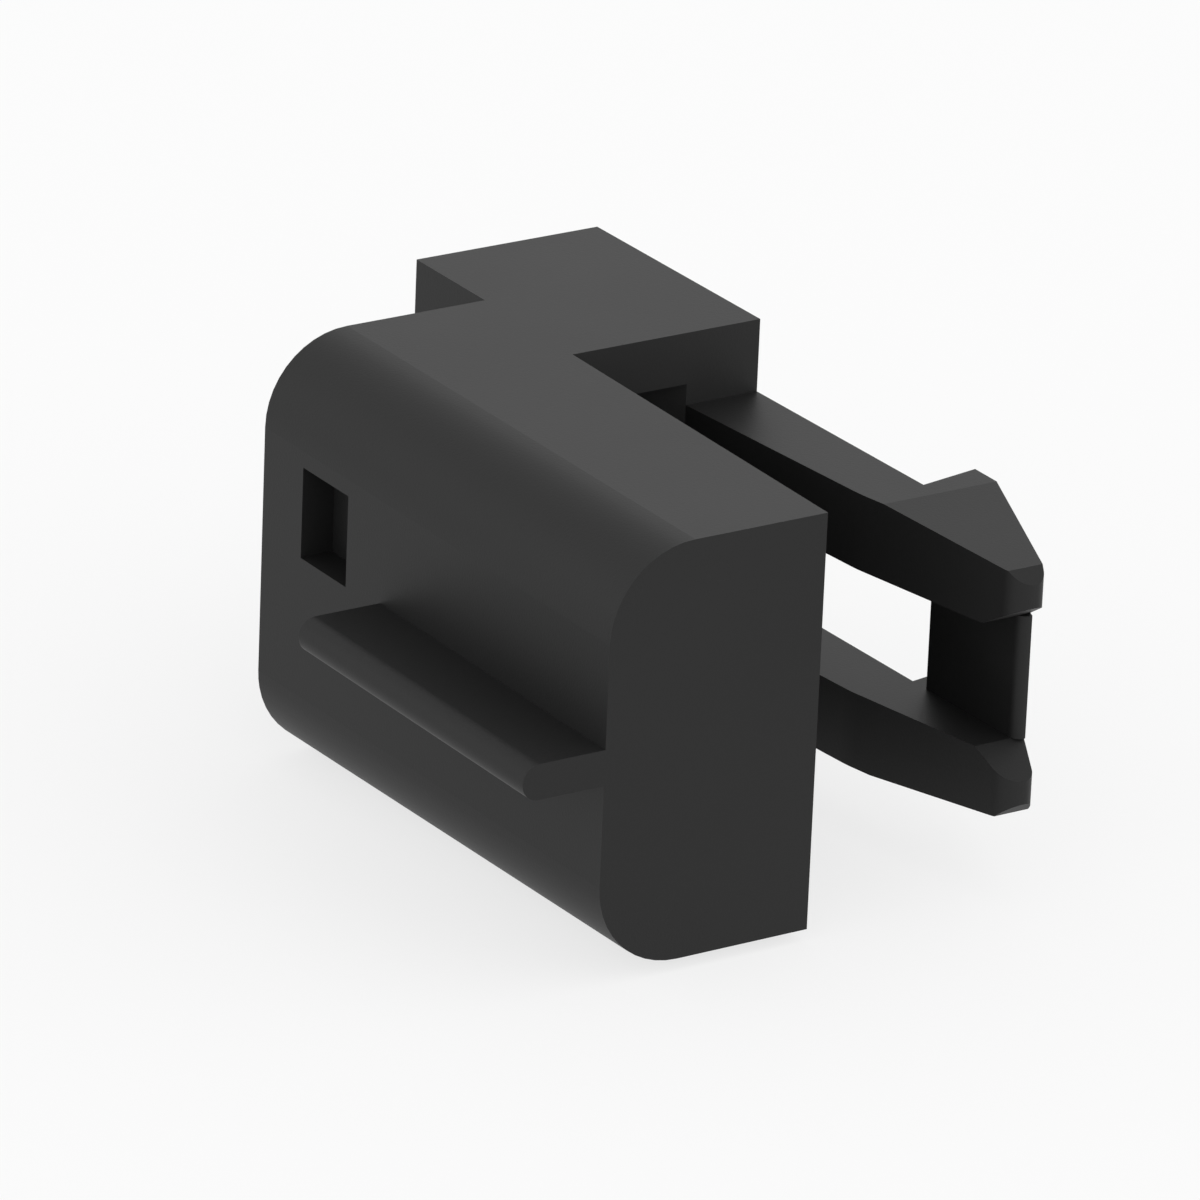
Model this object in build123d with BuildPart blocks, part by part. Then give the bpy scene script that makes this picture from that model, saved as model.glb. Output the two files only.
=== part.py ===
from build123d import *
import os
from math import radians, tan

# A small moulded connector housing: a round-fronted body with a finger rib and a pocket,
# a block across its back, and a pair of hooked latch arms joined by a web near their tips.
# Millimetres. +X runs along the body, +Y to its back and +Z up. Its top is level, and its
# flat underside falls a little towards the left end.

# Body
body_length = 12.0
body_height = 8.18
body_depth = 4.77
back_draft_angle = 1.0
underside_draft_angle = 1.0
front_radius = 1.73

# Pocket in the front face
pocket_inset = 1.41
pocket_width = 1.62
pocket_height = 1.81
pocket_sill = 4.32
pocket_depth = 0.69

# Finger rib along the front face, at half height
rib_inset = 4.24
rib_thickness = 0.7
rib_reach = 1.73

# Block across the back of the body
block_overhang = 2.47
block_width = 5.65
block_depth = 4.08
block_draft_angle = 0.5

# Latch arms, one above the other
arm_mid_height = 4.01
arm_gap = 2.44
arm_thickness = 1.49
arm_root_width = 1.6
arm_front_angle = 4.4
arm_back_angle = 1.28
bend_distance = 5.29
bend_radius = 3.3

# Hooks on the arms
catch_distance = 5.43
undercut_angle = 10.0
hook_height = 1.315
crest_length = 0.705
lead_in_angle = 20.0
outer_slope_angle = 5.0

# Tips of the arms
tip_width = 0.622
tip_front_radius = 0.45
tip_back_radius = 0.28
tip_front_angle = 10.35
tip_ramp_length = 0.845
tip_ramp_angle = 30.0
tip_bevel_length = 0.27
tip_bevel_angle = 43.0

# Web that joins the two hooks
web_start_distance = 5.86
web_end_thickness = 0.24
web_end_flat = 0.04

# Slot in the block that frees the roots of the arms, with a slanting back wall
slot_depth = 2.4
slot_clearance = 0.42


def slope(angle):
    """Rise over run of a face at this angle."""
    return tan(radians(angle))


# Stations along X and Y, from the body's left end and its front face
block_left = -block_overhang
block_right = block_left + block_width
body_back_right = body_depth - body_length * slope(back_draft_angle)
body_back_at_block = body_depth - block_right * slope(back_draft_angle)
block_back_left = body_depth + block_depth
block_back_right = block_back_left + block_width * slope(block_draft_angle)

arm_front = block_back_right - arm_root_width
bend_x = block_right + bend_distance
bend_y = arm_front + bend_distance * slope(arm_front_angle)
catch_x = block_right + catch_distance
catch_y = block_back_right + catch_distance * slope(arm_back_angle)
crest_y = catch_y + hook_height
crest_start = catch_x - hook_height * slope(undercut_angle)
crest_end = crest_start + crest_length

# The lead-in and the front face close on each other until the tip is as wide as wanted
tip_closing = slope(lead_in_angle) + slope(tip_front_angle)
crest_width = crest_y - bend_y - (crest_end - bend_x) * slope(tip_front_angle)
tip_x = crest_end + (crest_width - tip_width) / tip_closing
tip_front = bend_y + (tip_x - bend_x) * slope(tip_front_angle)

# The web follows the back of the arms and ends where the lead-in leaves it thin enough
web_start = block_right + web_start_distance
web_start_y = block_back_right + web_start_distance * slope(arm_back_angle)
web_closing = slope(lead_in_angle) + slope(arm_back_angle)
web_end_drop = crest_y - web_start_y - web_end_thickness + (crest_end - web_start) * slope(lead_in_angle)
web_end = web_start + web_end_drop / web_closing
web_end_y = web_start_y + (web_end - web_start) * slope(arm_back_angle)

slot_end = block_right - slot_depth
slot_height = arm_gap + 2 * arm_thickness + 2 * slot_clearance

# Levels
underside_left = -(body_length + block_overhang) * slope(underside_draft_angle)
arm_inner = arm_mid_height + arm_gap / 2
arm_outer = arm_inner + arm_thickness
bevel_level = arm_outer - (tip_x - tip_bevel_length - crest_end) * slope(outer_slope_angle)

# The origin lies below the middle of the whole piece, level with its lowest edge
corner = Vector(-(block_left + tip_x) / 2, -(crest_y - rib_reach) / 2, -underside_left)
floor = Plane(origin=corner)
front = Plane(origin=corner, x_dir=(1, 0, 0), z_dir=(0, -1, 0))
right_end = Plane(origin=corner + Vector(body_length, 0, 0), x_dir=(0, 1, 0), z_dir=(1, 0, 0))


# Upper latch arm: its plan, cut to its side profile
with BuildPart() as arm:
    with BuildSketch(floor.offset(arm_inner)):
        with BuildLine():
            Polyline(
                (block_right, arm_front),
                (bend_x, bend_y),
                (tip_x, tip_front),
                (tip_x, tip_front + tip_width),
                (crest_end, crest_y),
                (crest_start, crest_y),
                (catch_x, catch_y),
                (block_right, block_back_right),
                close=True,
            )
        make_face()
    extrude(amount=arm_thickness)
    bend = arm.edges().filter_by(Axis.Z).sort_by(Axis.Y)[1]
    fillet(bend, bend_radius)
    tip = arm.edges().filter_by(Axis.Z).group_by(Axis.X)[-1].sort_by(Axis.Y)
    fillet(tip[0], tip_front_radius)
    fillet(tip[-1], tip_back_radius)

    with BuildSketch(front):
        with BuildLine():
            Polyline(
                (block_right, arm_inner),
                (tip_x - tip_ramp_length, arm_inner),
                (tip_x, arm_inner + tip_ramp_length * slope(tip_ramp_angle)),
                (tip_x, bevel_level - tip_bevel_length * slope(tip_bevel_angle)),
                (tip_x - tip_bevel_length, bevel_level),
                (crest_end, arm_outer),
                (block_right, arm_outer),
                close=True,
            )
        make_face()
    extrude(amount=-crest_y, mode=Mode.INTERSECT)


# Web: a wedge that carries the lead-in of the hooks across the gap between them
with BuildPart() as web:
    with BuildSketch(floor.offset(arm_mid_height - arm_gap / 2)):
        with BuildLine():
            Polyline(
                (web_start, web_start_y),
                (web_end, web_end_y),
                (web_end, web_end_y + web_end_thickness),
                (crest_end, crest_y),
                (web_start, crest_y),
                close=True,
            )
        make_face()
    extrude(amount=arm_gap)
    thin_end = web.edges().filter_by(Axis.Z).group_by(Axis.X)[-1]
    fillet(thin_end.sort_by(Axis.Y)[0], web_end_thickness - web_end_flat)


with BuildPart() as housing:
    # Body and block share one outline, and are cut to one side profile
    with BuildSketch(floor.offset(underside_left)):
        with BuildLine():
            Polyline(
                (0, 0),
                (body_length, 0),
                (body_length, body_back_right),
                (block_right, body_back_at_block),
                (block_right, block_back_right),
                (block_left, block_back_left),
                (block_left, body_depth),
                (0, body_depth),
                close=True,
            )
        make_face()
    extrude(amount=body_height - underside_left)
    with BuildSketch(front):
        with BuildLine():
            Polyline(
                (block_left, underside_left),
                (body_length, 0),
                (body_length, body_height),
                (block_left, body_height),
                close=True,
            )
        make_face()
    extrude(amount=-block_back_right, mode=Mode.INTERSECT)
    front_edges = housing.faces().sort_by(Axis.Y)[0].edges().sort_by(Axis.Z)
    fillet([front_edges[0], front_edges[-1]], front_radius)

    # Finger rib with a full round edge, flush with the body's right end
    with BuildSketch(right_end):
        with Locations((0, body_height / 2)):
            SlotOverall(2 * rib_reach, rib_thickness)
    extrude(amount=rib_inset - body_length)

    # Pocket
    with BuildSketch(front):
        with Locations((pocket_inset, pocket_sill)):
            Rectangle(pocket_width, pocket_height, align=Align.MIN)
    extrude(amount=-pocket_depth, mode=Mode.SUBTRACT)

    # Slot that runs to a point at the body's back, from the front of the arms
    with BuildSketch(floor.offset(arm_mid_height - slot_height / 2)):
        with BuildLine():
            Polyline(
                (slot_end, body_depth - slot_end * slope(back_draft_angle)),
                (block_right, body_back_at_block),
                (block_right, arm_front),
                close=True,
            )
        make_face()
    extrude(amount=slot_height, mode=Mode.SUBTRACT)

    # Both arms, mirror images about the level midway between them, and their web
    add(arm.part)
    mirror(arm.part, about=floor.offset(arm_mid_height))
    add(web.part)

housing.part.label = "housing"

os.makedirs("parts", exist_ok=True)
export_step(housing.part, "parts/housing.step")
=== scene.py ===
import math

import bpy
from mathutils import Matrix, Vector

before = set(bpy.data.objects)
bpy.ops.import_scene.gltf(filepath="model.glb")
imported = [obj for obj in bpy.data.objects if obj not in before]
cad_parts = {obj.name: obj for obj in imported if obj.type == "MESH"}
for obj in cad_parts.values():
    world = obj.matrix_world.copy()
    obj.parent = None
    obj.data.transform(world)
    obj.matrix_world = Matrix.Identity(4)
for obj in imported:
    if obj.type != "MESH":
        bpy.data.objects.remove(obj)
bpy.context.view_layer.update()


# The housing: one injection moulding of black glass-filled nylon, body, block, rib and
# latch arms together. It comes out of a finely spark-eroded mould, so its skin is an even
# satin black with a fine grain and the faint cloudiness that the flowing plastic leaves.

class Value:
    """A number that varies from place to place. Sums on it become Math nodes."""

    def __init__(self, shading, socket):
        self.shading = shading
        self.socket = socket

    def maths(self, operation, first, second):
        feeds = {0: first, 1: second}
        return self.shading.node("ShaderNodeMath", {"operation": operation}, feeds)

    def __add__(self, other):
        return self.maths("ADD", self, other)

    __radd__ = __add__

    def __sub__(self, other):
        return self.maths("SUBTRACT", self, other)

    def __rsub__(self, other):
        return self.maths("SUBTRACT", other, self)

    def __mul__(self, other):
        return self.maths("MULTIPLY", self, other)

    __rmul__ = __mul__


class Shading:
    """The shading of a material or of the room, built up from its nodes."""

    def __init__(self, owner):
        self.owner = owner
        owner.use_nodes = True
        self.tree = owner.node_tree
        self.tree.nodes.clear()

    def node(self, kind, settings=None, feeds=None, output=0):
        """Adds a node with its settings and what feeds its sockets, and gives its output."""
        made = self.tree.nodes.new(kind)
        for name, value in (settings or {}).items():
            setattr(made, name, value)
        for name, value in (feeds or {}).items():
            if isinstance(value, Value):
                self.tree.links.new(value.socket, made.inputs[name])
            else:
                made.inputs[name].default_value = value
        return Value(self, made.outputs[output]) if made.outputs else None

    def noise(self, size, detail):
        """Soft noise from 0 to 1, with blotches of about this size in metres."""
        place = self.node("ShaderNodeTexCoord", output="Object")
        feeds = {"Vector": place, "Scale": 1 / size, "Detail": detail}
        return self.node("ShaderNodeTexNoise", feeds=feeds, output="Fac")

    def mix(self, share, first, second):
        """A colour between two others. The node takes colours at 6 and 7, and gives one at 2."""
        feeds = {"Factor": share, 6: first, 7: second}
        return self.node("ShaderNodeMix", {"data_type": "RGBA"}, feeds, output=2)

    def along(self, direction, axis):
        """How far a direction goes along an axis."""
        feeds = {0: direction, 1: axis}
        return self.node("ShaderNodeVectorMath", {"operation": "DOT_PRODUCT"}, feeds, output="Value")

    def cover(self, thing, surface):
        """Finishes a material with this surface and puts it on an object."""
        self.node("ShaderNodeOutputMaterial", feeds={"Surface": surface})
        thing.data.materials.clear()
        thing.data.materials.append(self.owner)


grain_size = 0.00005
grain_depth = 0.000002
grain_detail = 2
flow_size = 0.004
flow_detail = 3
flow_middle = 0.5
black_dark = (0.0082, 0.0082, 0.0082, 1)
black_light = (0.0106, 0.0106, 0.0106, 1)
satin_roughness = 0.52
roughness_spread = 0.04
satin_specular = 0.2

plastic = Shading(bpy.data.materials.new("satin_black_nylon"))
flow = plastic.noise(flow_size, flow_detail)
grain = plastic.noise(grain_size, grain_detail)
skin = plastic.node("ShaderNodeBump", feeds={"Distance": grain_depth, "Height": grain}, output="Normal")
surface = plastic.node("ShaderNodeBsdfPrincipled", feeds={
    "Base Color": plastic.mix(flow, black_dark, black_light),
    "Roughness": satin_roughness + roughness_spread * (flow - flow_middle),
    "Specular IOR Level": satin_specular,
    "Normal": skin,
})
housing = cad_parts["housing"]
plastic.cover(housing, surface)


# The studio: a pale matt floor that the housing lies on, lit a little from within as a light
# table is, and soft white light from all round. The light is strongest low down and towards
# the bright side, and weaker overhead. None of it is part of the object.

floor_size = 6.0
floor_white = (0.2, 0.2, 0.2, 1)
floor_glow = 0.73
room_white = (1, 1, 1, 1)
low_light = 1.79
low_light_top = 0.4
overhead_light = 0.855
overhead_start = 0.8
bright_side = (0.4, 0.185, 0)
up = (0, 0, 1)

bpy.ops.mesh.primitive_plane_add(size=floor_size)
floor = bpy.context.object
floor.name = "floor"
paint = Shading(bpy.data.materials.new("floor_paint"))
matt = paint.node("ShaderNodeBsdfDiffuse", feeds={"Color": floor_white})
glow = paint.node("ShaderNodeEmission", feeds={"Strength": floor_glow})
paint.cover(floor, paint.node("ShaderNodeAddShader", feeds={0: matt, 1: glow}))

bpy.context.scene.world = bpy.data.worlds.new("studio")
room = Shading(bpy.context.scene.world)
direction = room.node("ShaderNodeTexCoord", output="Generated")
from_height = room.node("ShaderNodeMapRange", feeds={
    "Value": room.along(direction, up),
    "From Min": low_light_top,
    "From Max": overhead_start,
    "To Min": low_light,
    "To Max": overhead_light,
}, output="Result")
strength = from_height + room.along(direction, bright_side)
light = room.node("ShaderNodeBackground", feeds={"Color": room_white, "Strength": strength})
room.node("ShaderNodeOutputWorld", feeds={"Surface": light})
bpy.context.scene.view_settings.view_transform = "Standard"


# The camera: a long lens, so that the housing shows almost without perspective. It looks
# down at the rounded front and the right end, turned a little about its own line of sight.

camera_azimuth = math.radians(-33.353)
camera_elevation = math.radians(22.138)
camera_roll = math.radians(2.395)
camera_distance = 0.188532
camera_target = Vector((0.000013, 0.000018, 0.004250))
sensor_width = 36
lens_length = 303.98
nearest_seen = 0.01
furthest_seen = 20

level = math.cos(camera_elevation)
towards = Vector((
    level * math.cos(camera_azimuth),
    level * math.sin(camera_azimuth),
    math.sin(camera_elevation),
))
camera = bpy.data.objects.new("camera", bpy.data.cameras.new("camera"))
bpy.context.scene.collection.objects.link(camera)
camera.data.sensor_width = sensor_width
camera.data.lens = lens_length
camera.data.clip_start = nearest_seen
camera.data.clip_end = furthest_seen
turn = towards.to_track_quat("Z", "Y").to_matrix() @ Matrix.Rotation(camera_roll, 3, "Z")
camera.matrix_world = Matrix.Translation(camera_target + camera_distance * towards) @ turn.to_4x4()
bpy.context.scene.camera = camera
